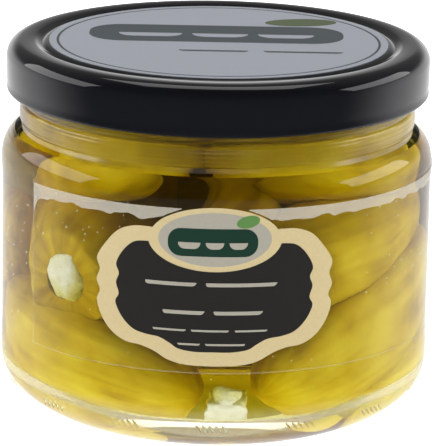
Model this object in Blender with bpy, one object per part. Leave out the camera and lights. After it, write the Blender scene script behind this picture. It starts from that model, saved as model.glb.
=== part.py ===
"""A squat glass jar of stuffed peppers in oil, shut with a black twist-off lid and wrapped in a clear label film.

The frame: +Z up, the origin at the centre of the ring that the jar stands on, and the front label facing -Y.
Everything round is a profile in (radius, height) spun about Z. The oil is the jar's inner profile taken in by
a small gap, so that the two always fit. The film and the printed label are flat outlines bent round the jar:
the film has a window that the label sits in. Metres throughout.
"""

import math

import bmesh
import bpy
from mathutils import Vector

MM = 0.001
GAP = 0.3 * MM  # kept between pieces that touch on the real jar
FACETS = 48  # sides of every round piece

# Glass jar
BODY_R = 44.0 * MM  # the bumper rings at heel and shoulder
PANEL_R = BODY_R - 0.15 * MM  # the label panel, a hair inside the bumpers
WALL = 2.5 * MM
BASE_THICKNESS = 8.0 * MM
PUSH_UP = 1.4 * MM  # how far the underside rises inside its bearing ring
RING_INNER_R = 19.0 * MM
RING_OUTER_R = 22.5 * MM
HEEL_Z = 12.5 * MM  # where the rounded heel meets the upright wall
HEEL_BUMPER_TOP_Z = 15.5 * MM
INNER_FLOOR_R = 26.2 * MM  # the flat floor inside, before it curves up into the wall
INNER_HEEL_RISE = 9.0 * MM
PANEL_LOW_Z = 19.5 * MM
PANEL_HIGH_Z = 49.8 * MM
SHOULDER_BUMPER_Z = 52.2 * MM
SHOULDER_Z = 53.3 * MM
SHOULDER_RISE = 5.9 * MM
NECK_R = 39.6 * MM
NECK_INNER_R = 37.2 * MM
RIM_ROUND = 0.9 * MM

# Two beads run round the neck below the lid: (height of the middle, how far it stands out, half its height)
NECK_BEADS = ((62.2 * MM, 0.75 * MM, 1.4 * MM), (65.2 * MM, 0.45 * MM, 0.6 * MM))

# Twist-off lid, a regular 82 mm cap
LID_R = 43.0 * MM
LID_SHEET = 0.5 * MM
LID_TOP_Z = 77.0 * MM  # the raised ring
LID_PANEL_Z = 76.8 * MM  # the middle, where the label lies
LID_PANEL_R = 35.0 * MM
LID_GROOVE_R = 35.8 * MM
LID_GROOVE_DEPTH = 0.4 * MM
LID_RING_R = 37.0 * MM
LID_ROUND = 3.0 * MM  # the radius between top and skirt
LID_HEM_R = 0.9 * MM  # the curl at the skirt's lower edge
LID_HEM_Z = 67.7 * MM  # the middle of the curl

RIM_Z = LID_TOP_Z - LID_SHEET - GAP
OIL_LEVEL_Z = RIM_Z - 3.2 * MM

# Labels. Both sheets bend round the jar in flat strips.
SHEET = 0.12 * MM
LID_LABEL_R = 34.6 * MM
LABEL_CENTRE_Z = 37.5 * MM
LABEL_STRIP = 2.0 * MM
FILM_STRIP = 4.0 * MM
FILM_START_DEG = -55.0  # the film's left end, counted round the jar from the middle of the front
FILM_SPAN_DEG = 270.0
FILM_LOW_Z = 20.0 * MM
FILM_HIGH_Z = 55.0 * MM
FILM_WINDOW_SCALE = 1.02  # the film's window against the printed label
LABEL_OVAL = (12.9 * MM, 6.4 * MM)  # half width and half height of the oval at its top
LABEL_OVAL_Z = 9.6 * MM  # the oval's middle, above the label's
LABEL_OVAL_END_DEG = 18  # where the plaque's outline leaves the oval's

# The plaque's right-hand outline from the oval down to the bottom, from the label's centre, in millimetres:
# a rounded shoulder, three scallops down the side, a rounded corner and the belly.
PLAQUE_HALF_MM = (
    (16.0, 11.5), (19.3, 10.3), (21.8, 7.8),
    (24.1, 4.3), (23.5, 1.8), (24.2, -0.4), (23.4, -2.5), (24.1, -4.5),
    (23.0, -7.7), (20.7, -10.5), (17.7, -12.1),
    (14.6, -12.5), (11.8, -13.4), (8.8, -15.0), (5.3, -15.8),
)  # fmt: skip
PLAQUE_BOTTOM_MM = (0.0, -16.0)

FINISHES = {
    "clear_glass": {"colour": (0.90, 0.94, 0.92), "roughness": 0.03, "metallic": 0.0},
    "yellow_oil": {"colour": (0.62, 0.46, 0.03), "roughness": 0.05, "metallic": 0.0},
    "black_enamel": {"colour": (0.01, 0.01, 0.012), "roughness": 0.25, "metallic": 0.0},
    "cream_paper": {"colour": (0.80, 0.71, 0.50), "roughness": 0.6, "metallic": 0.0},
    "clear_film": {"colour": (0.88, 0.88, 0.86), "roughness": 0.15, "metallic": 0.0},
    "white_paper": {"colour": (0.66, 0.69, 0.75), "roughness": 0.5, "metallic": 0.0},
}


def clear_scene():
    for obj in list(bpy.data.objects):
        bpy.data.objects.remove(obj)


def finish(name):
    """The Principled material of that name, made once."""
    material = bpy.data.materials.get(name)
    if material is None:
        values = FINISHES[name]
        material = bpy.data.materials.new(name)
        material.use_nodes = True
        shader = material.node_tree.nodes["Principled BSDF"]
        shader.inputs["Base Color"].default_value = (*values["colour"], 1.0)
        shader.inputs["Roughness"].default_value = values["roughness"]
        shader.inputs["Metallic"].default_value = values["metallic"]
    return material


def add_piece(name, mesh_builder, material):
    """Turns a bmesh into a linked object with its normals out and its material set."""
    bmesh.ops.recalc_face_normals(mesh_builder, faces=mesh_builder.faces)
    mesh = bpy.data.meshes.new(name)
    mesh_builder.to_mesh(mesh)
    mesh_builder.free()
    mesh.materials.append(finish(material))
    piece = bpy.data.objects.new(name, mesh)
    bpy.context.scene.collection.objects.link(piece)
    return piece


def arc(centre, radii, start_deg, end_deg, steps):
    """Points (radius, height) along an elliptical arc, both ends included."""
    points = []
    for step in range(steps + 1):
        angle = math.radians(start_deg + (end_deg - start_deg) * step / steps)
        points.append((centre[0] + radii[0] * math.cos(angle), centre[1] + radii[1] * math.sin(angle)))
    return points


def spin_profile(name, profile, material):
    """Spins a profile that starts and ends on the Z axis into one closed solid."""
    shape = bmesh.new()
    points = [shape.verts.new((radius, 0.0, height)) for radius, height in profile]
    edges = [shape.edges.new(pair) for pair in zip(points, points[1:])]
    bmesh.ops.spin(
        shape,
        geom=points + edges,
        cent=(0.0, 0.0, 0.0),
        axis=(0.0, 0.0, 1.0),
        angle=2 * math.pi,
        steps=FACETS,
        use_merge=True,
    )
    bmesh.ops.remove_doubles(shape, verts=shape.verts, dist=0.001 * MM)
    piece = add_piece(name, shape, material)
    piece.data.shade_smooth()
    piece.data.set_sharp_from_angle(angle=math.radians(35))
    return piece


def jar_outside():
    """From the middle of the underside out over the heel and up to the rim's outer edge."""
    heel = arc((RING_OUTER_R, HEEL_Z), (BODY_R - RING_OUTER_R, HEEL_Z), -90, 0, 7)
    shoulder_foot = BODY_R - NECK_R - GAP
    shoulder = arc((BODY_R - shoulder_foot, SHOULDER_Z), (shoulder_foot, SHOULDER_RISE), 0, 90, 5)
    profile = [(0.0, PUSH_UP), (RING_INNER_R - 2.0 * MM, PUSH_UP), (RING_INNER_R, 0.0)]
    profile += heel
    profile += [
        (BODY_R, HEEL_BUMPER_TOP_Z),
        (PANEL_R, PANEL_LOW_Z),
        (PANEL_R, PANEL_HIGH_Z),
        (BODY_R, SHOULDER_BUMPER_Z),
    ]
    profile += shoulder
    for middle, stand_out, half_height in NECK_BEADS:
        profile += arc((NECK_R, middle), (stand_out, half_height), -90, 90, 3)
    profile += arc((NECK_R - RIM_ROUND, RIM_Z - RIM_ROUND), (RIM_ROUND, RIM_ROUND), 0, 90, 2)
    return profile


def jar_inside(inset=0.0):
    """The cavity's wall from the middle of the base up to the neck, taken in by inset."""
    inner_r = BODY_R - WALL
    heel_centre = (INNER_FLOOR_R, BASE_THICKNESS + INNER_HEEL_RISE)
    heel = arc(heel_centre, (inner_r - INNER_FLOOR_R - inset, INNER_HEEL_RISE - inset), -90, 0, 5)
    shoulder_centre = (NECK_INNER_R, SHOULDER_Z - 0.5 * MM)
    shoulder = arc(shoulder_centre, (inner_r - NECK_INNER_R - inset, 5.2 * MM - inset), 0, 80, 4)
    profile = [(0.0, BASE_THICKNESS + inset), *heel, *shoulder]
    profile.append((NECK_INNER_R - inset, SHOULDER_Z + 6.5 * MM))
    return profile


def make_jar():
    outside = jar_outside()
    rim_inner_edge = (NECK_INNER_R, RIM_Z - RIM_ROUND)
    rim_top = (NECK_INNER_R + RIM_ROUND * 0.7, RIM_Z)
    inside = list(reversed(jar_inside()))
    spin_profile("glass_jar", outside + [rim_top, rim_inner_edge] + inside, "clear_glass")


def make_oil():
    wall = jar_inside(inset=GAP)
    level_edge = (NECK_INNER_R - GAP, OIL_LEVEL_Z)
    spin_profile("oil_fill", [*wall, level_edge, (0.0, OIL_LEVEL_Z)], "yellow_oil")


def make_lid():
    round_centre = (LID_R - LID_ROUND, LID_TOP_Z - LID_ROUND)
    hem_centre = (LID_R - LID_HEM_R, LID_HEM_Z)
    inner_round = LID_ROUND - LID_SHEET
    under_panel_z = LID_PANEL_Z - LID_SHEET
    under_ring_z = LID_TOP_Z - LID_SHEET
    groove_z = LID_PANEL_Z - LID_GROOVE_DEPTH
    profile = [
        (0.0, LID_PANEL_Z),
        (LID_PANEL_R, LID_PANEL_Z),
        (LID_GROOVE_R - 0.3 * MM, groove_z),
        (LID_GROOVE_R + 0.3 * MM, groove_z),
        (LID_RING_R, LID_TOP_Z),
    ]
    profile += arc(round_centre, (LID_ROUND, LID_ROUND), 90, 0, 4)
    profile += arc(hem_centre, (LID_HEM_R, LID_HEM_R), 0, -180, 5)
    profile.append((LID_R - LID_SHEET, LID_HEM_Z + 1.6 * MM))
    profile += arc(round_centre, (inner_round, inner_round), 0, 90, 3)
    profile += [
        (LID_RING_R + 0.3 * MM, under_ring_z),
        (LID_GROOVE_R + 0.5 * MM, groove_z - LID_SHEET),
        (LID_GROOVE_R - 0.5 * MM, groove_z - LID_SHEET),
        (LID_PANEL_R - 0.3 * MM, under_panel_z),
        (0.0, under_panel_z),
    ]
    spin_profile("twist_off_lid", profile, "black_enamel")


def smooth_through(points, steps):
    """A Catmull-Rom curve through the points, with that many steps between each two."""
    curve = []
    last = len(points) - 1
    for index in range(last):
        before = Vector(points[max(index - 1, 0)])
        start = Vector(points[index])
        end = Vector(points[index + 1])
        after = Vector(points[min(index + 2, last)])
        for step in range(steps):
            t = step / steps
            bend = (end - before) * t + (2 * before - 5 * start + 4 * end - after) * t**2
            curve.append(start + 0.5 * (bend + (3 * start - before - 3 * end + after) * t**3))
    curve.append(Vector(points[last]))
    return curve


def label_outline():
    """The label's outline laid flat, from its centre: the oval above the scalloped plaque."""
    oval = arc((0.0, LABEL_OVAL_Z), LABEL_OVAL, 90, LABEL_OVAL_END_DEG, 7)
    plaque = [oval[-1]]
    plaque += [(x * MM, z * MM) for x, z in PLAQUE_HALF_MM]
    plaque.append((PLAQUE_BOTTOM_MM[0] * MM, PLAQUE_BOTTOM_MM[1] * MM))
    right = [Vector(point) for point in oval[:-1]] + smooth_through(plaque, 2)
    left = [Vector((-point.x, point.y)) for point in reversed(right[1:-1])]
    return right + left


def sheet_angle(distance):
    """The angle round the jar of a point that far along a bent sheet."""
    return distance / (PANEL_R + GAP)


def add_bent_sheet(name, loops, strip, material):
    """Fills flat outlines, cuts them into upright strips, gives them thickness and bends them round the jar.

    The points are (distance along the jar, height above the label's centre). Any loop after the first is a hole.
    """
    inner_r = PANEL_R + GAP
    shape = bmesh.new()
    edges = []
    for loop in loops:
        verts = [shape.verts.new((point[0], 0.0, point[1])) for point in loop]
        edges += [shape.edges.new(pair) for pair in zip(verts, verts[1:] + verts[:1])]
    bmesh.ops.triangle_fill(shape, use_beauty=True, edges=edges)
    distances = [vert.co.x for vert in shape.verts]
    for number in range(math.ceil(min(distances) / strip), math.floor(max(distances) / strip) + 1):
        everything = shape.verts[:] + shape.edges[:] + shape.faces[:]
        cut_at = (number * strip, 0.0, 0.0)
        bmesh.ops.bisect_plane(shape, geom=everything, plane_co=cut_at, plane_no=(1.0, 0.0, 0.0))
    bmesh.ops.triangulate(shape, faces=shape.faces[:])
    extruded = bmesh.ops.extrude_face_region(shape, geom=shape.faces[:])
    outer = [item for item in extruded["geom"] if isinstance(item, bmesh.types.BMVert)]
    bmesh.ops.translate(shape, verts=outer, vec=(0.0, -SHEET, 0.0))
    for vert in shape.verts:
        angle = sheet_angle(vert.co.x)
        radius = inner_r - vert.co.y
        vert.co = (radius * math.sin(angle), -radius * math.cos(angle), LABEL_CENTRE_Z + vert.co.z)
    add_piece(name, shape, material)


def make_front_label():
    add_bent_sheet("front_label", [label_outline()], LABEL_STRIP, "cream_paper")


def make_film():
    """The clear film, from its left end round the front and the right to the back."""
    left = math.radians(FILM_START_DEG) / sheet_angle(1.0)
    right = math.radians(FILM_START_DEG + FILM_SPAN_DEG) / sheet_angle(1.0)
    low = FILM_LOW_Z - LABEL_CENTRE_Z
    high = FILM_HIGH_Z - LABEL_CENTRE_Z
    corners = [(left, low), (right, low), (right, high), (left, high)]
    window = [point * FILM_WINDOW_SCALE for point in label_outline()]
    add_bent_sheet("label_film", [corners, window], FILM_STRIP, "clear_film")


def make_lid_label():
    shape = bmesh.new()
    bmesh.ops.create_cone(
        shape, cap_ends=True, segments=FACETS, radius1=LID_LABEL_R, radius2=LID_LABEL_R, depth=SHEET
    )
    label = add_piece("lid_label", shape, "white_paper")
    label.location.z = LID_PANEL_Z + GAP + SHEET / 2


def main():
    clear_scene()
    make_jar()
    make_oil()
    make_lid()
    make_film()
    make_front_label()
    make_lid_label()


main()
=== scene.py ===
"""The looks of a squat glass jar of cheese-stuffed yellow peppers in oil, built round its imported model.

The order: sizes, small helpers, finishes, the glass and its lid, the labels, the food, and the studio.
Round pieces are profiles in (radius, height) turned about Z. The printed pieces are flat outlines bent
round the jar. The peppers are lofted along a curve and pressed against the glass. Metres throughout, +Z
up, and the front label faces -Y.
"""

import math
import random

import bmesh
import bpy
from mathutils import Matrix, Vector, noise


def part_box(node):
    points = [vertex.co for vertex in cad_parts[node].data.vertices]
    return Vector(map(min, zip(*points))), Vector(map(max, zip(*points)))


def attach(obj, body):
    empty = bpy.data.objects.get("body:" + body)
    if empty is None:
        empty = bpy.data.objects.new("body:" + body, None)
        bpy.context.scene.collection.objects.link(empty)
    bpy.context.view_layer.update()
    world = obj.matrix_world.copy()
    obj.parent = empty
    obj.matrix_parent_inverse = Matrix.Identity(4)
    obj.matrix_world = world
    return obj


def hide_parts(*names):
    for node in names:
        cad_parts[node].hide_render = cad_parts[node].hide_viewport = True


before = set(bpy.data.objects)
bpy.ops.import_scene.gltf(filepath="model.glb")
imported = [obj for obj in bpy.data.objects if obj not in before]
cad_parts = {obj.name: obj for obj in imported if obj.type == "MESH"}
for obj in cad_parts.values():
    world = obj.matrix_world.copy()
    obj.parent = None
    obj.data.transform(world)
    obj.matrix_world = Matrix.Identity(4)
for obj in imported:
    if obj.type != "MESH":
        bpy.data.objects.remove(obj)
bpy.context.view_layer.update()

MM = 0.001
SIDES = 256  # round the turned pieces
TURNED_CREASE_DEG = 32

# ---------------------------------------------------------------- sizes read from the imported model
JAR_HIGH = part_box("glass_jar")[1]
LID_LOW, LID_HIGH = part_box("twist_off_lid")
BODY_R = JAR_HIGH.x
RIM_Z = JAR_HIGH.z
LID_R = LID_HIGH.x
LID_TOP_Z = LID_HIGH.z
LID_HEM_LOW_Z = LID_LOW.z
OIL_LEVEL_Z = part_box("oil_fill")[1].z
LID_LABEL_LOW, LID_LABEL_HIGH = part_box("lid_label")
LABEL_LOW, LABEL_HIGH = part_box("front_label")
LABEL_CENTRE_Z = (LABEL_LOW.z + LABEL_HIGH.z) / 2
FILM_LOW_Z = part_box("label_film")[0].z
FILM_HIGH_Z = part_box("label_film")[1].z

# ---------------------------------------------------------------- the glass, as in the solid
BUMPER_STAND_OUT = 0.15 * MM
PANEL_R = BODY_R - BUMPER_STAND_OUT
WALL = 2.5 * MM
BASE_THICKNESS = 8.0 * MM
PUSH_UP = 1.4 * MM
RING_INNER_R = 19.0 * MM
RING_OUTER_R = 22.5 * MM
HEEL_Z = 12.5 * MM
INNER_FLOOR_R = 26.2 * MM
INNER_HEEL_RISE = 9.0 * MM
INNER_HEEL_Z = BASE_THICKNESS + INNER_HEEL_RISE
LOW_BUMPER_Z = (15.0 * MM, 16.5 * MM, 18.5 * MM, 20.0 * MM)  # from its full width up to the flat panel
HIGH_BUMPER_Z = (49.6 * MM, 50.3 * MM, 51.6 * MM, 52.3 * MM)  # from the flat panel up to its full width
SHOULDER_Z = 53.3 * MM
SHOULDER_RISE = 5.9 * MM
SHOULDER_SHORT_OF_NECK = 0.3 * MM
INNER_SHOULDER_Z = SHOULDER_Z - 0.5 * MM
INNER_SHOULDER_RISE = 5.2 * MM
INNER_NECK_Z = SHOULDER_Z + 6.5 * MM
NECK_R = 39.6 * MM
NECK_INNER_R = 37.2 * MM
RIM_ROUND = 0.9 * MM
INNER_R = BODY_R - WALL
# The neck's beads: the middle's height, how far it stands out, and half its height.
NECK_BEADS = ((62.3 * MM, 0.75 * MM, 2.2 * MM), (65.9 * MM, 0.45 * MM, 0.9 * MM))
NECK_RIPPLE = 0.035 * MM  # fine rings left by the neck mould
NECK_RIPPLE_PITCH = 0.85 * MM
DULL_NECK_Z = (59.6 * MM, 68.0 * MM)
INTO_WALL = 0.12 * MM  # how far the oil reaches into the glass, so that no air shows between them


# ================================================================ helpers
def colour(code):
    """An sRGB hex value as linear RGBA."""
    parts = [int(code[place : place + 2], 16) / 255 for place in (1, 3, 5)]
    linear = [part / 12.92 if part <= 0.04045 else ((part + 0.055) / 1.055) ** 2.4 for part in parts]
    return (*linear, 1.0)


def add_node(tree, kind, inputs=None, stops=(), **settings):
    """Adds a node. A value among the inputs is set on the socket, and a socket is linked to it.

    Stops are a colour ramp's places and hex values, from low to high.
    """
    made = tree.nodes.new(kind)
    for name, value in settings.items():
        setattr(made, name, value)
    for name, value in (inputs or {}).items():
        if isinstance(value, bpy.types.NodeSocket):
            tree.links.new(value, made.inputs[name])
        else:
            made.inputs[name].default_value = value
    for number, (position, code) in enumerate(stops):
        elements = made.color_ramp.elements
        element = elements[number] if number < len(elements) else elements.new(position)
        element.position = position
        element.color = colour(code)
    return made


def new_material(name):
    material = bpy.data.materials.new(name)
    material.use_nodes = True
    material.node_tree.nodes.clear()
    return material, material.node_tree


def object_noise(tree, cell_mm, detail=3.0, roughness=0.5, stretch=(1.0, 1.0, 1.0)):
    """Noise on Object coordinates whose cells are about cell_mm across before stretch."""
    place = add_node(tree, "ShaderNodeTexCoord")
    scale = tuple(1.0 / part for part in stretch)
    scaled = add_node(tree, "ShaderNodeMapping", {"Vector": place.outputs["Object"], "Scale": scale})
    return add_node(
        tree,
        "ShaderNodeTexNoise",
        {
            "Vector": scaled.outputs["Vector"],
            "Scale": 1.0 / (cell_mm * MM),
            "Detail": detail,
            "Roughness": roughness,
        },
    )


def relief(tree, cell_mm, depth_mm, strength, detail=3.0, roughness=0.5, stretch=(1.0, 1.0, 1.0)):
    """A normal roughened by noise: pits about cell_mm across and depth_mm deep."""
    height = object_noise(tree, cell_mm, detail, roughness, stretch).outputs["Fac"]
    made = add_node(
        tree, "ShaderNodeBump", {"Height": height, "Distance": depth_mm * MM, "Strength": strength}
    )
    return made.outputs["Normal"]


def make_object(name, mesh, material):
    mesh.materials.clear()
    mesh.materials.append(material)
    made = bpy.data.objects.new(name, mesh)
    bpy.context.scene.collection.objects.link(made)
    return made


def from_bmesh(name, shape, material, crease_deg=None):
    """A linked object from a bmesh, its normals turned outwards."""
    bmesh.ops.recalc_face_normals(shape, faces=shape.faces)
    mesh = bpy.data.meshes.new(name)
    shape.to_mesh(mesh)
    shape.free()
    if crease_deg is not None:
        mesh.shade_smooth()
        mesh.set_sharp_from_angle(angle=math.radians(crease_deg))
    return make_object(name, mesh, material)


def arc(centre, radii, start_deg, end_deg, steps):
    """Points along an elliptical arc in (radius, height), both ends included."""
    points = []
    for step in range(steps + 1):
        angle = math.radians(start_deg + (end_deg - start_deg) * step / steps)
        points.append((centre[0] + radii[0] * math.cos(angle), centre[1] + radii[1] * math.sin(angle)))
    return points


def turned(name, profile, material):
    """Turns a profile that starts and ends on the Z axis into one closed solid."""
    shape = bmesh.new()
    rings = []
    for radius, height in profile:
        if radius < 1e-7:
            rings.append([shape.verts.new((0.0, 0.0, height))])
            continue
        ring = []
        for side in range(SIDES):
            angle = 2 * math.pi * side / SIDES
            ring.append(shape.verts.new((radius * math.cos(angle), radius * math.sin(angle), height)))
        rings.append(ring)
    for below, above in zip(rings, rings[1:]):
        for side in range(SIDES):
            after = (side + 1) % SIDES
            corners = [below[side % len(below)], below[after % len(below)]]
            corners += [above[after % len(above)], above[side % len(above)]]
            unique = list(dict.fromkeys(corners))
            if len(unique) > 2:
                shape.faces.new(unique)
    return from_bmesh(name, shape, material, TURNED_CREASE_DEG)


def ride_root(piece, slot, *nodes):
    """The jar has no joint, so every piece rides on its one body."""
    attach(piece, "root")
    if nodes:
        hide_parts(*nodes)
    return piece


# ================================================================ finishes
GLASS_IOR = 1.52
OIL_IOR = 1.47
SHINY_NECK_IOR = 1.8  # above the glass's own, so that the neck's fine rings catch more of the lamps


def lets_lamps_through(tree, shader):
    """The shader, but clear to light on its way from the lamps, so that what lies behind is lit."""
    path = add_node(tree, "ShaderNodeLightPath")
    clear = add_node(tree, "ShaderNodeBsdfTransparent")
    return add_node(
        tree,
        "ShaderNodeMixShader",
        {0: path.outputs["Is Shadow Ray"], 1: shader.outputs[0], 2: clear.outputs[0]},
    )


def flint_glass():
    """Clear soda-lime glass, pressed and fire-polished: sharp highlights, faint waves from the mould."""
    material, tree = new_material("flint_glass")
    shader = add_node(
        tree,
        "ShaderNodeBsdfPrincipled",
        {
            "Base Color": colour("#FBFDFB"),
            "Roughness": 0.0,
            "IOR": GLASS_IOR,
            "Transmission Weight": 1.0,
            "Normal": relief(tree, 9.0, 0.03, 0.35, detail=1.0, stretch=(1.0, 1.0, 0.6)),
        },
    )
    surface = lets_lamps_through(tree, shader)
    add_node(tree, "ShaderNodeOutputMaterial", {"Surface": surface.outputs[0]})
    return material


def neck_glass():
    """The neck's outside: mould rings and handling leave it duller, so that lamps smear over it."""
    material, tree = new_material("neck_glass")
    shader = add_node(
        tree,
        "ShaderNodeBsdfPrincipled",
        {
            "Base Color": colour("#FFFFFF"),
            "Roughness": 0.2,
            "IOR": SHINY_NECK_IOR,
            "Transmission Weight": 1.0,
        },
    )
    surface = lets_lamps_through(tree, shader)
    add_node(tree, "ShaderNodeOutputMaterial", {"Surface": surface.outputs[0]})
    return material


def wetted_glass():
    """The same glass where oil wets it: light bends only by the ratio of the two, so it hardly reflects."""
    material, tree = new_material("wetted_glass")
    shader = add_node(
        tree,
        "ShaderNodeBsdfPrincipled",
        {
            "Base Color": colour("#FBFDFB"),
            "Roughness": 0.0,
            "IOR": GLASS_IOR / OIL_IOR,
            "Transmission Weight": 1.0,
        },
    )
    surface = lets_lamps_through(tree, shader)
    add_node(tree, "ShaderNodeOutputMaterial", {"Surface": surface.outputs[0]})
    return material


def frosted_glass():
    """The jar's underside, left rough by the mould: it spreads the table's light into the thick base."""
    material, tree = new_material("frosted_glass")
    shader = add_node(
        tree,
        "ShaderNodeBsdfPrincipled",
        {
            "Base Color": colour("#FFFFFF"),
            "Roughness": 0.6,
            "IOR": GLASS_IOR,
            "Transmission Weight": 1.0,
            "Normal": relief(tree, 0.6, 0.1, 0.5, detail=2.0),
        },
    )
    surface = lets_lamps_through(tree, shader)
    add_node(tree, "ShaderNodeOutputMaterial", {"Surface": surface.outputs[0]})
    return material


def yellow_oil():
    """Refined oil tinted by the peppers: golden where one looks deep, and faintly clouded by the brine.

    Its surface bends no light. The wetted face of the glass, just inside it, does all of that.
    """
    material, tree = new_material("yellow_oil")
    shader = add_node(
        tree,
        "ShaderNodeBsdfPrincipled",
        {
            "Base Color": colour("#FFFFFF"),
            "Roughness": 0.0,
            "IOR": 1.0,
            "Transmission Weight": 1.0,
        },
    )
    surface = lets_lamps_through(tree, shader)
    depth = add_node(tree, "ShaderNodeVolumeAbsorption", {"Color": colour("#FEF900"), "Density": 200.0})
    cloud = add_node(
        tree, "ShaderNodeVolumeScatter", {"Color": colour("#FFF3C4"), "Density": 14.0, "Anisotropy": 0.3}
    )
    inside = add_node(tree, "ShaderNodeAddShader", {0: depth.outputs[0], 1: cloud.outputs[0]})
    add_node(
        tree, "ShaderNodeOutputMaterial", {"Surface": surface.outputs[0], "Volume": inside.outputs[0]}
    )
    return material


def pepper_skin():
    """Pickled yellow pepper: soft waxy flesh, streaked along its length, that light sinks into."""
    material, tree = new_material("pepper_skin")
    ripeness = add_node(tree, "ShaderNodeAttribute", attribute_name="ripeness")
    along = add_node(tree, "ShaderNodeUVMap", uv_map="skin")
    many_round_few_along = (18.0, 2.2, 1.0)
    stretched = add_node(
        tree, "ShaderNodeMapping", {"Vector": along.outputs["UV"], "Scale": many_round_few_along}
    )
    streaks = add_node(
        tree, "ShaderNodeTexNoise", {"Vector": stretched.outputs["Vector"], "Scale": 1.0, "Detail": 3.0}
    )
    patches = object_noise(tree, 9.0, detail=2.0)
    mixed = add_node(
        tree, "ShaderNodeMath", {0: streaks.outputs["Fac"], 1: patches.outputs["Fac"]}, operation="ADD"
    )
    shifted = add_node(
        tree, "ShaderNodeMath", {0: mixed.outputs[0], 1: ripeness.outputs["Fac"]}, operation="ADD"
    )
    halved = add_node(tree, "ShaderNodeMath", {0: shifted.outputs[0], 1: 0.5}, operation="MULTIPLY")
    skin = add_node(
        tree,
        "ShaderNodeValToRGB",
        {"Fac": halved.outputs[0]},
        stops=((0.33, "#AE8B28"), (0.50, "#D9B92B"), (0.66, "#EAD243")),
    )
    shader = add_node(
        tree,
        "ShaderNodeBsdfPrincipled",
        {
            "Base Color": skin.outputs["Color"],
            "Roughness": 0.45,
            "IOR": 1.45,
            "Specular IOR Level": 0.06,
            "Subsurface Weight": 0.35,
            "Subsurface Radius": (1.0, 0.7, 0.15),
            "Subsurface Scale": 2.0 * MM,
            "Normal": relief(tree, 0.9, 0.12, 0.5),
        },
    )
    add_node(tree, "ShaderNodeOutputMaterial", {"Surface": shader.outputs[0]})
    return material


def brined_cheese():
    """White brined cheese, crumbled by hand: chalky, with small pits and damp creamy hollows."""
    material, tree = new_material("brined_cheese")
    lumps = object_noise(tree, 2.6, detail=5.0, roughness=0.6)
    curd = add_node(
        tree,
        "ShaderNodeValToRGB",
        {"Fac": lumps.outputs["Fac"]},
        stops=((0.30, "#EAE5D2"), (0.52, "#FAF7EC"), (0.70, "#FFFDF8")),
    )
    shader = add_node(
        tree,
        "ShaderNodeBsdfPrincipled",
        {
            "Base Color": curd.outputs["Color"],
            "Roughness": 0.7,
            "Specular IOR Level": 0.1,
            "Subsurface Weight": 0.25,
            "Subsurface Radius": (1.0, 0.9, 0.7),
            "Subsurface Scale": 1.2 * MM,
            "Normal": relief(tree, 0.5, 0.25, 0.7, detail=4.0, roughness=0.65),
        },
    )
    add_node(tree, "ShaderNodeOutputMaterial", {"Surface": shader.outputs[0]})
    return material


def black_enamel():
    """Black stoving enamel on tinplate: deep, glossy, with a trace of orange peel."""
    material, tree = new_material("black_enamel")
    smudges = object_noise(tree, 16.0, detail=3.0)
    gloss = add_node(
        tree,
        "ShaderNodeMapRange",
        {
            "Value": smudges.outputs["Fac"],
            "From Min": 0.35,
            "From Max": 0.7,
            "To Min": 0.03,
            "To Max": 0.09,
        },
    )
    shader = add_node(
        tree,
        "ShaderNodeBsdfPrincipled",
        {
            "Base Color": colour("#16171B"),
            "Roughness": gloss.outputs["Result"],
            "IOR": 1.5,
            "Normal": relief(tree, 1.2, 0.01, 0.4, detail=2.0),
        },
    )
    add_node(tree, "ShaderNodeOutputMaterial", {"Surface": shader.outputs[0]})
    return material


def printed(name, code, roughness=0.42, mottle=0.05):
    """Ink or paper printed offset and varnished: an even tone with a faint mottle and a soft sheen."""
    material, tree = new_material(name)
    fibre_mm = 0.7
    fibres = object_noise(tree, fibre_mm)
    base = colour(code)
    darker = tuple(part * (1 - mottle * 2) for part in base[:3]) + (1.0,)
    lighter = tuple(min(1.0, part * (1 + mottle)) for part in base[:3]) + (1.0,)
    tone = add_node(
        tree, "ShaderNodeMix", {0: fibres.outputs["Fac"], 6: darker, 7: lighter}, data_type="RGBA"
    )
    shader = add_node(
        tree,
        "ShaderNodeBsdfPrincipled",
        {
            "Base Color": tone.outputs[2],
            "Roughness": roughness,
            "Normal": relief(tree, fibre_mm, 0.01, 0.3),
        },
    )
    add_node(tree, "ShaderNodeOutputMaterial", {"Surface": shader.outputs[0]})
    return material


def clear_film(name, alpha, code="#F4F0E4"):
    """Clear polypropylene film: all but unseen where it sticks, whitish where air has crept under it."""
    material, tree = new_material(name)
    shader = add_node(
        tree,
        "ShaderNodeBsdfPrincipled",
        {"Base Color": colour(code), "Roughness": 0.25, "Alpha": alpha},
    )
    add_node(tree, "ShaderNodeOutputMaterial", {"Surface": shader.outputs[0]})
    return material


def pale_floor():
    """A white acrylic light table: a matt sheet with a soft even glow from below."""
    material, tree = new_material("studio_floor")
    shader = add_node(
        tree,
        "ShaderNodeBsdfPrincipled",
        {
            "Base Color": colour("#E8E8E8"),
            "Roughness": 0.9,
            "Emission Color": colour("#FFFFFF"),
            "Emission Strength": 1.6,
        },
    )
    add_node(tree, "ShaderNodeOutputMaterial", {"Surface": shader.outputs[0]})
    return material


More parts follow.
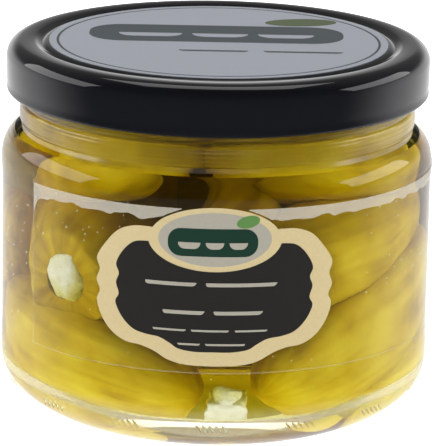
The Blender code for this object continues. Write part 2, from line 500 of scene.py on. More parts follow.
GLASS = flint_glass()
WET_GLASS = wetted_glass()
FROSTED_GLASS = frosted_glass()
NECK_GLASS = neck_glass()
OIL = yellow_oil()
SKIN = pepper_skin()
CHEESE = brined_cheese()
ENAMEL = black_enamel()
CREAM = printed("cream_label_stock", "#D2BF8E")
BLACK_INK = printed("black_ink", "#2B2926", roughness=0.35)
SILVER_INK = printed("silver_ink", "#ABA697", roughness=0.35)
GREEN_INK = printed("dark_green_ink", "#123F30", roughness=0.35)
LEAF_INK = printed("leaf_green_ink", "#5E8E45", roughness=0.35)
LID_STOCK = printed("white_label_stock", "#D0D5E0", roughness=0.5, mottle=0.02)
SLATE_INK = printed("slate_ink", "#4E5A5E", roughness=0.45)
OLIVE_INK = printed("olive_ink", "#66784A", roughness=0.45)
FILM = clear_film("clear_film", 0.004)
# A painted highlight: faint whitish strips along the film's cut edges stand in for the light that those
# edges catch.
PAINTED_EDGE_HIGHLIGHT = clear_film("painted_film_edge_highlight", 0.08)
FILM_LIFT = clear_film("film_lift", 0.32, "#E8E2D2")


# ================================================================ glass, oil and lid
def glass_outside():
    """From the middle of the underside out over the heel and up to the rim's outer edge."""
    heel = arc((RING_OUTER_R, HEEL_Z), (BODY_R - RING_OUTER_R, HEEL_Z), -90, 0, 28)
    reach = BODY_R - NECK_R - SHOULDER_SHORT_OF_NECK
    shoulder = arc((BODY_R - reach, SHOULDER_Z), (reach, SHOULDER_RISE), 0, 90, 22)
    profile = [(0.0, PUSH_UP), (RING_INNER_R - 2.0 * MM, PUSH_UP)]
    profile += [(RING_INNER_R - 1.0 * MM, PUSH_UP * 0.5), (RING_INNER_R, 0.0)]
    profile += heel
    full, easing, eased, flat = LOW_BUMPER_Z
    profile += [(BODY_R, full), (BODY_R - 0.04 * MM, easing), (PANEL_R + 0.03 * MM, eased), (PANEL_R, flat)]
    flat, rising, risen, full = HIGH_BUMPER_Z
    profile += [(PANEL_R, flat), (PANEL_R + 0.03 * MM, rising), (BODY_R - 0.03 * MM, risen), (BODY_R, full)]
    profile += shoulder
    for middle, stand_out, half_height in NECK_BEADS:
        for radius, height in arc((NECK_R, middle), (stand_out, half_height), -90, 90, 40):
            ripple = NECK_RIPPLE * math.sin(2 * math.pi * height / NECK_RIPPLE_PITCH)
            profile.append((radius + ripple, height))
    profile += arc((NECK_R - RIM_ROUND, RIM_Z - RIM_ROUND), (RIM_ROUND, RIM_ROUND), 0, 90, 5)
    return profile


def glass_inside(grow=0.0):
    """The cavity's wall from the middle of the base up into the neck, grown outwards by grow."""
    heel_radii = (INNER_R - INNER_FLOOR_R + grow, INNER_HEEL_RISE + grow)
    heel = arc((INNER_FLOOR_R, INNER_HEEL_Z), heel_radii, -90, 0, 20)
    shoulder_radii = (INNER_R - NECK_INNER_R + grow, INNER_SHOULDER_RISE + grow)
    shoulder = arc((NECK_INNER_R, INNER_SHOULDER_Z), shoulder_radii, 0, 80, 16)
    return [(0.0, BASE_THICKNESS - grow), *heel, *shoulder, (NECK_INNER_R + grow, INNER_NECK_Z)]


def make_jar():
    """The jar: polished glass, but for the face that oil wets, the rough underside and the dull neck."""
    rim_inside = arc((NECK_INNER_R + RIM_ROUND, RIM_Z - RIM_ROUND), (RIM_ROUND, RIM_ROUND), 90, 180, 5)
    profile = glass_outside() + rim_inside + list(reversed(glass_inside()))
    jar = turned("jar_glass", profile, GLASS)
    for material in (WET_GLASS, FROSTED_GLASS, NECK_GLASS):
        jar.data.materials.append(material)
    for face in jar.data.polygons:
        outward = face.normal.x * face.center.x + face.normal.y * face.center.y
        height = face.center.z
        if (outward < 0 or face.normal.z > 0.9) and BASE_THICKNESS * 0.9 < height < OIL_LEVEL_Z:
            face.material_index = 1
        if face.normal.z < -0.3 and height < 2.0 * MM:
            face.material_index = 2
        radius = math.hypot(face.center.x, face.center.y)
        if radius > NECK_R - 0.1 * MM and DULL_NECK_Z[0] < height < DULL_NECK_Z[1]:
            face.material_index = 3
    ride_root(jar, "clear_glass", "glass_jar")


def make_oil():
    """The oil, up to its level just under the lid, reaching a little way into the glass."""
    profile = glass_inside(INTO_WALL)
    profile += [(NECK_INNER_R + INTO_WALL, OIL_LEVEL_Z), (0.0, OIL_LEVEL_Z)]
    ride_root(turned("jar_oil", profile, OIL), "yellow_oil", "oil_fill")


def make_lid():
    """The cap: a flat middle, a soft groove, a low raised ring, a round edge and a curled hem."""
    top_round = 3.0 * MM
    sheet = 0.4 * MM
    hem_r = 0.85 * MM
    panel_r = 34.8 * MM
    panel_z = LID_LABEL_LOW.z - 0.3 * MM
    ring_inner_r = 37.6 * MM
    round_centre = (LID_R - top_round, LID_TOP_Z - top_round)
    hem_centre = (LID_R - hem_r, LID_HEM_LOW_Z + hem_r)
    profile = [(0.0, panel_z), (panel_r, panel_z)]
    # The groove round the flat middle, and the slope from it up to the raised ring.
    profile += [(35.3 * MM, panel_z - 0.1 * MM), (35.8 * MM, panel_z - 0.4 * MM)]
    profile += [(36.3 * MM, panel_z - 0.35 * MM), (37.0 * MM, LID_TOP_Z - 0.12 * MM)]
    profile.append((ring_inner_r, LID_TOP_Z))
    profile += arc(round_centre, (top_round, top_round), 90, 0, 16)
    profile += [(LID_R, LID_HEM_LOW_Z + 2.6 * MM), (LID_R - 0.12 * MM, LID_HEM_LOW_Z + 2.1 * MM)]
    profile += arc(hem_centre, (hem_r, hem_r), 20, -190, 14)
    # The same again inside, a sheet's thickness in.
    profile.append((LID_R - 2 * sheet, LID_HEM_LOW_Z + 2.6 * MM))
    profile += arc(round_centre, (top_round - sheet, top_round - sheet), 0, 90, 8)
    profile += [(ring_inner_r, LID_TOP_Z - sheet), (36.4 * MM, panel_z - 0.8 * MM)]
    profile += [(35.5 * MM, panel_z - 0.8 * MM), (panel_r, panel_z - sheet), (0.0, panel_z - sheet)]
    ride_root(turned("lid_shell", profile, ENAMEL), "black_enamel", "twist_off_lid")


# ================================================================ labels
LABEL_R = BODY_R + 0.06 * MM  # the label's inner face, just clear of the glass
OVAL_Z = 9.6 * MM  # the oval's middle above the label's
STOCK_MM = 0.06
LID_STOCK_MM = 0.1
LID_LABEL_SUNK_MM = 0.28  # it lies on the lid's metal, where the solid has a little air below it
INK_MM = 0.015  # far thicker than real ink, so that layers never meet
LABEL_CREASE_DEG = 50

# Right-hand outlines from the oval down to the bottom, from the label's centre, in millimetres.
PLAQUE_HALF_MM = (
    (16.0, 11.5), (19.3, 10.3), (21.8, 7.8),
    (24.1, 4.3), (23.5, 1.8), (24.2, -0.4), (23.4, -2.5), (24.1, -4.5),
    (23.0, -7.7), (20.7, -10.5), (17.7, -12.1),
    (14.6, -12.5), (11.8, -13.4), (8.8, -15.0), (5.3, -15.8), (0.0, -16.0),
)  # fmt: skip
FIELD_HALF_MM = (
    (16.0, 8.3), (18.3, 6.3),
    (19.8, 3.5), (19.2, 1.5), (19.8, -0.4), (19.2, -2.6), (19.9, -4.4),
    (18.5, -7.2), (16.2, -9.3), (13.6, -10.1),
    (10.7, -10.5), (8.5, -11.6), (6.8, -12.6), (3.6, -13.1), (0.0, -13.1),
)  # fmt: skip


def smooth_through(points, steps):
    """A Catmull-Rom curve through the points, with that many steps between each two."""
    curve = []
    last = len(points) - 1
    for index in range(last):
        before = Vector(points[max(index - 1, 0)])
        start = Vector(points[index])
        end = Vector(points[index + 1])
        after = Vector(points[min(index + 2, last)])
        for step in range(steps):
            t = step / steps
            bend = (end - before) * t + (2 * before - 5 * start + 4 * end - after) * t**2
            curve.append(start + 0.5 * (bend + (3 * start - before - 3 * end + after) * t**3))
    curve.append(Vector(points[last]))
    return curve


def ellipse(centre, radii, steps=72, tilt_deg=0.0):
    tilt = math.radians(tilt_deg)
    points = []
    for step in range(steps):
        angle = 2 * math.pi * step / steps
        x = radii[0] * math.cos(angle)
        y = radii[1] * math.sin(angle)
        x, y = x * math.cos(tilt) - y * math.sin(tilt), x * math.sin(tilt) + y * math.cos(tilt)
        points.append((centre[0] + x, centre[1] + y))
    return points


def rounded_bar(centre, width, height, round_share=0.5, slant=0.0, steps=6):
    """A bar with round corners. A slant leans it to the right by that share of the height."""
    radius = min(width, height) * round_share
    points = []
    for corner, (side_x, side_y) in enumerate(((1, 1), (-1, 1), (-1, -1), (1, -1))):
        middle_x = side_x * (width / 2 - radius)
        middle_y = side_y * (height / 2 - radius)
        for step in range(steps + 1):
            angle = math.radians(90 * corner + 90 * step / steps)
            x = middle_x + radius * math.cos(angle)
            y = middle_y + radius * math.sin(angle)
            points.append((centre[0] + x + slant * y, centre[1] + y))
    return points


def mirrored(half):
    """Closes a right-hand outline, top to bottom, with its mirror image."""
    right = [Vector(point) for point in half]
    left = [Vector((-point.x, point.y)) for point in reversed(right) if abs(point.x) > 1e-9]
    return right + left


def plaque_outline():
    oval = arc((0.0, OVAL_Z), (12.9 * MM, 6.4 * MM), 90, 18, 16)
    lower = smooth_through([oval[-1]] + [(x * MM, y * MM) for x, y in PLAQUE_HALF_MM], 6)
    return mirrored(oval[:-1] + lower)


def field_outline():
    """The black field: the plaque's shape taken in, cut along the oval at its top."""
    oval = arc((0.0, OVAL_Z), (13.2 * MM, 6.45 * MM), -90, -8, 18)
    lower = smooth_through([oval[-1]] + [(x * MM, y * MM) for x, y in FIELD_HALF_MM], 6)
    return mirrored(oval[:-1] + lower)


def fill_loops(shape, loops, strip=None):
    """Fills flat outlines in the XZ plane. Any loop after the first is a hole, and strips let it bend."""
    edges = []
    for loop in loops:
        verts = [shape.verts.new((point[0], 0.0, point[1])) for point in loop]
        edges += [shape.edges.new(pair) for pair in zip(verts, verts[1:] + verts[:1])]
    bmesh.ops.triangle_fill(shape, use_beauty=True, edges=edges)
    if strip is None:
        return
    places = [vert.co.x for vert in shape.verts]
    for number in range(math.ceil(min(places) / strip), math.floor(max(places) / strip) + 1):
        everything = shape.verts[:] + shape.edges[:] + shape.faces[:]
        cut = (number * strip, 0, 0)
        bmesh.ops.bisect_plane(shape, geom=everything, plane_co=cut, plane_no=(1, 0, 0))


def thicken(shape, thickness):
    extruded = bmesh.ops.extrude_face_region(shape, geom=shape.faces[:])
    outer = [item for item in extruded["geom"] if isinstance(item, bmesh.types.BMVert)]
    bmesh.ops.translate(shape, verts=outer, vec=(0.0, -thickness, 0.0))


def bent_piece(name, pieces, lift_mm, thickness_mm, material, strip_mm=1.0):
    """Flat outlines bent round the jar. Each piece is a list of loops, measured along the label's face."""
    shape = bmesh.new()
    for loops in pieces:
        part = bmesh.new()
        fill_loops(part, loops, strip_mm * MM)
        thicken(part, thickness_mm * MM)
        join_into(shape, part)
    inner_r = LABEL_R + lift_mm * MM
    for vert in shape.verts:
        angle = vert.co.x / LABEL_R
        radius = inner_r - vert.co.y
        vert.co = (radius * math.sin(angle), -radius * math.cos(angle), LABEL_CENTRE_Z + vert.co.z)
    return from_bmesh(name, shape, material, LABEL_CREASE_DEG)


def flat_piece(name, pieces, low_z, thickness_mm, material):
    """Flat outlines lying on the lid, given in (x, y)."""
    shape = bmesh.new()
    for loops in pieces:
        part = bmesh.new()
        fill_loops(part, loops)
        thicken(part, thickness_mm * MM)
        join_into(shape, part)
    for vert in shape.verts:
        vert.co = (vert.co.x, vert.co.z, low_z - vert.co.y)
    return from_bmesh(name, shape, material)


def join_into(shape, part):
    mesh = bpy.data.meshes.new("part")
    part.to_mesh(mesh)
    part.free()
    shape.from_mesh(mesh)
    bpy.data.meshes.remove(mesh)


def bars(rows):
    """Rows of plain bars. Each row is its height, its bars' height, their slant, and their ends, in mm."""
    pieces = []
    for middle, tall, slant, *spans in rows:
        for left, right in spans:
            centre = ((left + right) / 2 * MM, middle * MM)
            pieces.append([rounded_bar(centre, (right - left) * MM, tall * MM, slant=slant)])
    return pieces


def print_on_label(name, outlines, layer, ink):
    """Ink on the front label. Layer 0 lies on the stock, and each higher one on the one before."""
    lift_mm = STOCK_MM + layer * INK_MM
    ride_root(bent_piece(name, outlines, lift_mm, INK_MM, ink), "cream_paper")


def make_front_label():
    """Cream stock, a black field, a silver oval with a green badge, and plain bars in place of words."""
    stock = bent_piece("label_stock", [[plaque_outline()]], 0.0, STOCK_MM, CREAM)
    ride_root(stock, "cream_paper", "front_label")
    print_on_label("label_field", [[field_outline()]], 0, BLACK_INK)
    oval = ellipse((0.0, OVAL_Z), (11.1 * MM, 5.4 * MM))
    print_on_label("label_oval", [[oval]], 0, SILVER_INK)
    badge = rounded_bar((-0.4 * MM, 9.0 * MM), 17.6 * MM, 5.6 * MM, 0.45)
    print_on_label("label_badge", [[badge]], 1, GREEN_INK)
    dot = ellipse((6.4 * MM, 13.2 * MM), (2.3 * MM, 1.2 * MM), 36, 12)
    print_on_label("label_dot", [[dot]], 2, LEAF_INK)
    rows = (
        (9.0, 2.6, 0.0, (-7.2, -2.8), (-1.8, 1.8), (2.8, 6.4)),
        (0.9, 1.5, 0.25, (-13.6, -3.4), (-1.6, 12.4)),
        (-4.8, 1.5, 0.25, (-10.0, -1.8), (0.0, 9.6)),
        (-8.6, 0.8, 0.0, (-12.0, -5.4), (-4.4, 3.0), (4.1, 10.6)),
        (-11.4, 0.8, 0.0, (-7.0, -2.6), (-1.6, 6.2)),
    )
    print_on_label("label_bars", bars(rows), 2, SILVER_INK)


def print_on_lid(name, outlines, layer, ink):
    """Ink on the lid's label, in the same layers."""
    low_z = LID_LABEL_LOW.z + (LID_STOCK_MM + layer * INK_MM - LID_LABEL_SUNK_MM) * MM
    ride_root(flat_piece(name, outlines, low_z, INK_MM, ink), "white_paper")


def make_lid_label():
    """The round pale label on the lid, with a thin ring and plain fields."""
    low_z = LID_LABEL_LOW.z - LID_LABEL_SUNK_MM * MM
    stock_r = LID_LABEL_HIGH.x - 0.2 * MM
    stock = [[ellipse((0, 0), (stock_r, stock_r), 128)]]
    disc = flat_piece("lid_label_stock", stock, low_z, LID_STOCK_MM, LID_STOCK)
    ride_root(disc, "white_paper", "lid_label")
    ring = [[ellipse((0, 0), (32.9 * MM,) * 2, 128), ellipse((0, 0), (32.4 * MM,) * 2, 128)]]
    print_on_lid("lid_label_ring", ring, 0, SLATE_INK)
    badge = [[rounded_bar((-0.5 * MM, 6.5 * MM), 52 * MM, 16 * MM, 0.42)]]
    print_on_lid("lid_label_badge", badge, 0, SLATE_INK)
    pale = bars(((6.5, 6.5, 0.0, (-20.5, -7.5), (-5.5, 6.0), (8.0, 19.5)),))
    print_on_lid("lid_label_pale_bar", pale, 1, LID_STOCK)
    small = bars(((-9.0, 2.6, 0.0, (-8.0, 6.0), (9.0, 25.0)),))
    print_on_lid("lid_label_small_bars", small, 0, SLATE_INK)
    dot = [[ellipse((17.0 * MM, 19.0 * MM), (7.5 * MM, 3.6 * MM), 48, 8)]]
    print_on_lid("lid_label_dot", dot, 1, OLIVE_INK)


FILM_START_DEG = -55.0
FILM_SPAN_DEG = 270.0
FILM_SHEET_MM = 0.05
FILM_STRIP_MM = 1.5
FILM_EDGE_WIDTH = 0.25 * MM
LIFT_TOP_Z = 53.2 * MM  # the lifted rim: its upper edge, its usual depth, and how much that wanders
LIFT_DEPTH = 2.2 * MM
LIFT_WANDER = 0.55 * MM
LIFT_ENDS_FROM_MIDDLE = 6.5 * MM


def film_span():
    """The film's two ends, as distances along the label's face."""
    left = math.radians(FILM_START_DEG) * LABEL_R
    return left, left + math.radians(FILM_SPAN_DEG) * LABEL_R


def ragged(place, seed):
    """A wandering value from about -1 to 1 along the film, the same each run."""
    return noise.fractal(Vector((place / (4.0 * MM), seed, 0.0)), 1.0, 2.1, 4) * 1.6


def make_film():
    """The clear film that carries the label, with a hole where the label is, and faint whitish strips along
    its three cut edges, a painted highlight where light catches them.
    """
    left, right = film_span()
    low = FILM_LOW_Z - LABEL_CENTRE_Z
    high = FILM_HIGH_Z - LABEL_CENTRE_Z
    corners = [(left, low), (right, low), (right, high), (left, high)]
    window = [point * 1.012 for point in plaque_outline()]
    film = bent_piece("film_sheet", [[corners, window]], 0.0, FILM_SHEET_MM, FILM, FILM_STRIP_MM)
    ride_root(film, "clear_film", "label_film")

    # The three edge strips are a painted highlight, not a colour of the film itself.
    from_left = left + FILM_EDGE_WIDTH
    to_right = right - FILM_EDGE_WIDTH
    above = low + FILM_EDGE_WIDTH * 0.8
    lines = [
        [[(left, low), (from_left, low), (from_left, high), (left, high)]],
        [[(to_right, low), (right, low), (right, high), (to_right, high)]],
        [[(from_left, low), (to_right, low), (to_right, above), (from_left, above)]],
    ]
    ride_root(bent_piece("painted_film_edge_highlights", lines, 0.06, 0.02, PAINTED_EDGE_HIGHLIGHT, FILM_STRIP_MM), "clear_film")


def make_lifted_rim():
    """Along its top, over the bumper, the film has come away from the glass, with a ragged lower border.

    It is deeper near the film's left end, and it stops where the label's oval stands in its way.
    """
    left, right = film_span()
    from_left = left + FILM_EDGE_WIDTH
    length = right - left - 2 * FILM_EDGE_WIDTH
    top = LIFT_TOP_Z - LABEL_CENTRE_Z
    steps = 520
    upper = []
    lower = []
    for step in range(steps + 1):
        place = from_left + length * step / steps
        depth = LIFT_DEPTH + LIFT_WANDER * ragged(place, 3.0)
        depth += 4.5 * MM * max(0.0, 1 - (place - left) / (4.0 * MM)) ** 2
        over_oval = 1 - min(1.0, abs(place) / (13.4 * MM)) ** 2
        above_oval = OVAL_Z + 6.7 * MM * math.sqrt(over_oval)
        upper.append((place, top))
        lower.append((place, max(top - depth, above_oval if over_oval > 0 else -1.0)))
    border = upper + lower[::-1]
    left_part = [point for point in border if point[0] < -LIFT_ENDS_FROM_MIDDLE]
    right_part = [point for point in border if point[0] > LIFT_ENDS_FROM_MIDDLE]
    outlines = [[left_part], [right_part]]
    ride_root(bent_piece("film_lifted_edge", outlines, 0.08, 0.03, FILM_LIFT, FILM_STRIP_MM), "clear_film")


# ================================================================ peppers and cheese
def inner_limit(height):
    """The inside radius of the glass at a height."""
    if height < INNER_HEEL_Z:
        share = min(1.0, max(0.0, (INNER_HEEL_Z - height) / INNER_HEEL_RISE))
        return INNER_FLOOR_R + (INNER_R - INNER_FLOOR_R) * math.sqrt(1 - share * share)
    if height > INNER_SHOULDER_Z:
        share = min(1.0, (height - INNER_SHOULDER_Z) / INNER_SHOULDER_RISE)
        return NECK_INNER_R + (INNER_R - NECK_INNER_R) * math.sqrt(1 - share * share)
    return INNER_R


def soft_limit(value, limit, ease):
    """Lets a value rise towards a limit without reaching it, as soft food presses against glass."""
    start = limit - ease
    if value <= start:
        return value
    return limit - ease * math.exp(-(value - start) / ease)


def press_inside(point, ease=1.1 * MM):
    """Keeps a point of the food inside the glass and under the oil."""
    floor = BASE_THICKNESS + 0.2 * MM
    height = -soft_limit(-point.z, -floor, 0.8 * MM)
    height = soft_limit(height, OIL_LEVEL_Z - 1.0 * MM, 1.5 * MM)
    radius = math.hypot(point.x, point.y)
    allowed = soft_limit(radius, inner_limit(height) - 0.25 * MM, ease)
    share = allowed / radius if radius > 1e-9 else 1.0
    return Vector((point.x * share, point.y * share, height))


def round_the_jar(degrees, radius_mm, height_mm):
    """A point given by its angle round the jar from the middle of the front, its radius and its height."""
    angle = math.radians(degrees)
    return Vector((radius_mm * math.sin(angle), -radius_mm * math.cos(angle), height_mm)) * MM


def girth(t):
    """A pepper's width from the cut mouth at 0 to the tip at 1, as a share of its widest."""
    belly = 0.82 + 0.18 * math.sin(math.pi * min(0.5, t / 0.5))
    taper = 1.0 - 0.38 * max(0.0, (t - 0.3) / 0.7) ** 1.8
    tip = math.sqrt(max(0.0, 1.0 - max(0.0, (t - 0.77) / 0.23) ** 2))
    return belly * taper * tip


AROUND = 72
ALONG = 60
IN_HOLLOW = 8
MOUTH_DEPTH = 0.07  # how far down its length a pepper's mouth is hollow
LIP_LENGTH = 0.2  # how far down its length the torn lip still shows


def walk_along(curve):
    """A curve's length, and a function that gives its point at a share of that length."""
    lengths = [0.0]
    for first, second in zip(curve, curve[1:]):
        lengths.append(lengths[-1] + (second - first).length)
    total = lengths[-1]

    def at(t):
        want = max(0.0, min(1.0, t)) * total
        index = max(i for i, length in enumerate(lengths) if length <= want + 1e-12)
        index = min(index, len(curve) - 2)
        share = (want - lengths[index]) / (lengths[index + 1] - lengths[index])
        return curve[index].lerp(curve[index + 1], share)

    return total, at


def pepper_layers(wall):
    """A pepper's rings as a place along it and a share of its width there: up the hollow, over the lip, down
    to the tip. Wall is the flesh's share of the width.
    """
    layers = []
    for step in range(IN_HOLLOW):
        t = MOUTH_DEPTH * (1 - step / IN_HOLLOW)
        share = 1 - wall if t < MOUTH_DEPTH * 0.8 else (1 - wall) * (MOUTH_DEPTH - t) / (MOUTH_DEPTH * 0.2)
        layers.append((t, max(0.0, share)))
    layers += [(-0.004, 1 - wall * 0.75), (-0.008, 1 - wall * 0.3)]
    layers += [(step / ALONG, 1.0) for step in range(ALONG + 1)]
    return layers


def skin_between(shape, uv_layer, below, above):
    """Faces between two rings, each given with its place along the pepper, and their UV map."""
    (low_ring, low_t), (high_ring, high_t) = below, above
    for step in range(AROUND):
        after = (step + 1) % AROUND
        corners = [
            (low_ring[step % len(low_ring)], step, low_t),
            (low_ring[after % len(low_ring)], step + 1, low_t),
            (high_ring[after % len(high_ring)], step + 1, high_t),
            (high_ring[step % len(high_ring)], step, high_t),
        ]
        unique = []
        for corner in corners:
            if corner[0] not in [item[0] for item in unique]:
                unique.append(corner)
        if len(unique) < 3:
            continue
        face = shape.faces.new([vert for vert, _, _ in unique])
        face.smooth = True
        for loop, (_, around, t) in zip(face.loops, unique):
            loop[uv_layer].uv = (around / AROUND, t)


def pepper_mesh(shape, path, radius_mm, ripe, flesh_mm, seed):
    """Adds one pepper: its outside from mouth to tip, and the hollow that the filling sits in."""
    source = random.Random(seed)
    lobes = [source.uniform(0, 2 * math.pi) for _ in range(3)]
    curve = smooth_through([round_the_jar(*point) for point in path], 24)
    total, at = walk_along(curve)
    uv_layer = shape.loops.layers.uv.get("skin") or shape.loops.layers.uv.new("skin")
    ripe_layer = shape.verts.layers.float.get("ripeness") or shape.verts.layers.float.new("ripeness")
    rings = []
    for t, share in pepper_layers(flesh_mm / radius_mm):
        centre = at(t)
        ahead = (at(t + 0.02) - at(t - 0.02)).normalized()
        side = ahead.cross(Vector((0, 0, 1))).normalized()
        over = side.cross(ahead).normalized()
        if t < 0:
            centre = centre + ahead * (t * total)
        width = radius_mm * MM * girth(max(t, 0.0)) * share
        lip_share = max(0.0, 1 - max(t, 0.0) / LIP_LENGTH)
        ring = []
        for step in range(1 if width < 1e-6 else AROUND):
            angle = 2 * math.pi * step / AROUND
            fold = 0.05 * math.cos(3 * angle + lobes[0]) + 0.035 * math.cos(2 * angle + lobes[1] + 2 * t)
            fold += 0.02 * math.cos(5 * angle + lobes[2])
            torn = 0.9 * MM * noise.noise(Vector((math.cos(angle) * 1.7, math.sin(angle) * 1.7, seed * 3.1)))
            direction = side * math.cos(angle) + over * math.sin(angle)
            place = centre + direction * width * (1 + fold) + ahead * torn * lip_share
            if share == 1.0:
                spot = Vector((angle * 2.6, t * total / (9 * MM), seed * 7.7))
                wrinkle = noise.fractal(spot, 1.0, 2.0, 4)
                place += direction * 0.55 * MM * wrinkle * min(1.0, 4 * (1 - t))
            vert = shape.verts.new(press_inside(place))
            vert[ripe_layer] = ripe
            ring.append(vert)
        rings.append((ring, t))
    for below, above in zip(rings, rings[1:]):
        skin_between(shape, uv_layer, below, above)
    return curve


def cheese_mesh(shape, centre, size_mm, seed, blocky=5.0, crumb_mm=0.5):
    """Adds one lump of cheese: a soft-edged block with broken faces and a crumbly surface."""
    source = random.Random(seed)
    turn_by = source.uniform(0, 6.28)
    turn_about = Vector([source.gauss(0, 1) for _ in range(3)]).normalized()
    turn = Matrix.Rotation(turn_by, 3, turn_about)
    planes = []
    for axis in (Vector((1, 0, 0)), Vector((0, 1, 0)), Vector((0, 0, 1))):
        for way in (turn @ axis, turn @ -axis):
            planes.append((way, source.uniform(0.68, 0.85)))
    while len(planes) < 10:
        normal = Vector([source.gauss(0, 1) for _ in range(3)]).normalized()
        planes.append((normal, source.uniform(0.85, 1.0)))
    ball = bmesh.new()
    bmesh.ops.create_icosphere(ball, subdivisions=5, radius=1.0)
    for vert in ball.verts:
        way = vert.co.normalized()
        reach = 0.0
        for normal, distance in planes:
            facing = way.dot(normal)
            if facing > 0:
                reach += (facing / distance) ** (blocky * 3)
        reach = reach ** (-1 / (blocky * 3)) if reach > 0 else 1.3
        reach = min(reach, 1.25)
        spot = Vector([way[axis] * reach * size_mm[axis] * MM for axis in range(3)])
        rough = noise.fractal(spot / (3.0 * MM) + Vector((seed, 0, 0)), 1.0, 2.2, 4)
        spot += way * rough * crumb_mm * MM
        vert.co = press_inside(centre + spot, 0.6 * MM)
    for face in ball.faces:
        face.smooth = True
    join_into(shape, ball)


# Each pepper: its curve from mouth to tip in (degrees round the jar, radius, height), its widest radius, how
# deep its filling is sunk, how ripe it is, from -0.3 for olive to 0.3 for bright yellow, and how thick its
# flesh is at the mouth. Lengths are in mm.
PEPPERS = {
    "left_mouth": (((-46, 39.5, 34.0), (-48, 30, 37), (-62, 20, 44), (-100, 15, 54)), 12.2, 7.0, -0.12, 6.5),
    "right_low": (((95, 28, 31), (52, 30.8, 23.5), (15, 32.5, 12.5)), 13.4, 4.0, 0.08, 2.5),
    "right_high": (((6, 29.5, 35), (45, 30.5, 41), (92, 29, 47)), 11.5, 6.0, -0.02, 2.5),
    "right_bottom": (((118, 30, 16), (84, 31.5, 14), (50, 32.5, 13)), 9.4, 4.0, 0.22, 2.5),
    "bottom_left": (((-90, 27, 19), (-44, 31, 17), (-4, 32.5, 12.5)), 12.6, 6.0, 0.05, 2.5),
    "low_middle": (((-55, 12, 27), (0, 18, 26), (55, 12, 27)), 9.0, 4.0, -0.2, 2.5),
    "top_left": (((-120, 14, 56), (-75, 20, 58), (-42, 28.5, 60), (-4, 29, 61)), 11.5, 6.0, -0.05, 2.5),
    "top_right": (((100, 27, 61), (58, 28.5, 60), (-6, 28.5, 59.5)), 11.8, 6.0, 0.0, 2.5),
    "top_middle": (((-70, 14, 65), (0, 19, 65.5), (70, 14, 65)), 8.0, 4.0, -0.1, 2.5),
    "behind_label": (((-20, 29, 37), (2, 28, 42), (26, 22, 50)), 9.5, 6.0, -0.1, 2.5),
    "left_side": (((-92, 28, 26), (-96, 28.5, 35), (-92, 28, 46)), 9.5, 6.0, -0.1, 2.5),
    "back_low_right": (((128, 30.5, 17), (156, 30.5, 17), (188, 29.5, 22)), 12.2, 4.0, 0.1, 2.5),
    "back_low_left": (((206, 30.5, 17), (236, 30.5, 17), (266, 29.5, 22)), 12.2, 4.0, 0.0, 2.5),
    "back_mid_right": (((178, 30, 42), (150, 30.5, 39), (110, 29.5, 34)), 11.4, 2.5, -0.15, 2.5),
    "back_mid_left": (((238, 30, 46), (212, 30.5, 42), (190, 27, 39)), 11.2, 4.0, 0.1, 2.5),
    "back_top_right": (((185, 28, 60), (152, 28, 60), (120, 27, 57)), 11.0, 6.0, 0.0, 2.5),
    "back_top_left": (((205, 28, 62), (236, 28, 60), (262, 26, 58)), 11.0, 6.0, -0.1, 2.5),
    "core": (((30, 6, 16), (100, 5, 34), (200, 8, 56)), 11.5, 6.0, 0.0, 2.5),
}  # fmt: skip

# Each lump by the glass: its middle as above, its half sizes in mm, its seed, how square it is, and how far
# its crumbs stand out in mm.
LUMPS = {
    "in_left_mouth": ((-45, 38.4, 36.2), (4.6, 3.8, 5.2), 5, 9.0, 0.5),
    "on_the_floor": ((3.8, 35.5, 11.2), (4.8, 4.0, 3.4), 9, 5.0, 1.1),
    "on_top_of_it": ((4.4, 38.2, 13.8), (2.4, 1.8, 2.2), 12, 5.0, 1.0),
}
FILLING_SHARE = 0.62  # of the pepper's widest radius


def make_food():
    """All the peppers as one piece, and their fillings and the lumps as another."""
    skins = bmesh.new()
    curds = bmesh.new()
    for number, (path, radius_mm, sunk_mm, ripe, flesh_mm) in enumerate(PEPPERS.values()):
        curve = pepper_mesh(skins, path, radius_mm, ripe, flesh_mm, number + 1)
        inward = (curve[1] - curve[0]).normalized()
        plug = curve[0] + inward * sunk_mm * MM
        cheese_mesh(curds, plug, (radius_mm * FILLING_SHARE,) * 3, number + 31)
    for middle, size_mm, seed, blocky, crumb_mm in LUMPS.values():
        cheese_mesh(curds, round_the_jar(*middle), size_mm, seed, blocky, crumb_mm)
    ride_root(from_bmesh("peppers", skins, SKIN, 60), "pepper_flesh")
    ride_root(from_bmesh("cheese", curds, CHEESE, 80), "white_cheese")


# ================================================================ what is scattered
def plain_mesh_from(name, tree, inputs, material):
    """Runs a Geometry Nodes tree with these inputs and keeps its result as a plain mesh."""
    holder = make_object(name + "_holder", bpy.data.meshes.new(name + "_holder"), material)
    modifier = holder.modifiers.new("made", "NODES")
    modifier.node_group = tree
    for item in tree.interface.items_tree:
        if item.item_type == "SOCKET" and item.in_out == "INPUT" and item.name in inputs:
            modifier[item.identifier] = inputs[item.name]
    evaluated = holder.evaluated_get(bpy.context.evaluated_depsgraph_get())
    mesh = bpy.data.meshes.new_from_object(evaluated)
    mesh.name = name
    bpy.data.objects.remove(holder)
    return make_object(name, mesh, material)


def new_tree(name, sockets):
    tree = bpy.data.node_groups.new(name, "GeometryNodeTree")
    for label, kind, default in sockets:
        socket = tree.interface.new_socket(label, in_out="INPUT", socket_type=kind)
        if default is not None:
            socket.default_value = default
    tree.interface.new_socket("Geometry", in_out="OUTPUT", socket_type="NodeSocketGeometry")
    return tree, add_node(tree, "NodeGroupInput"), add_node(tree, "NodeGroupOutput")


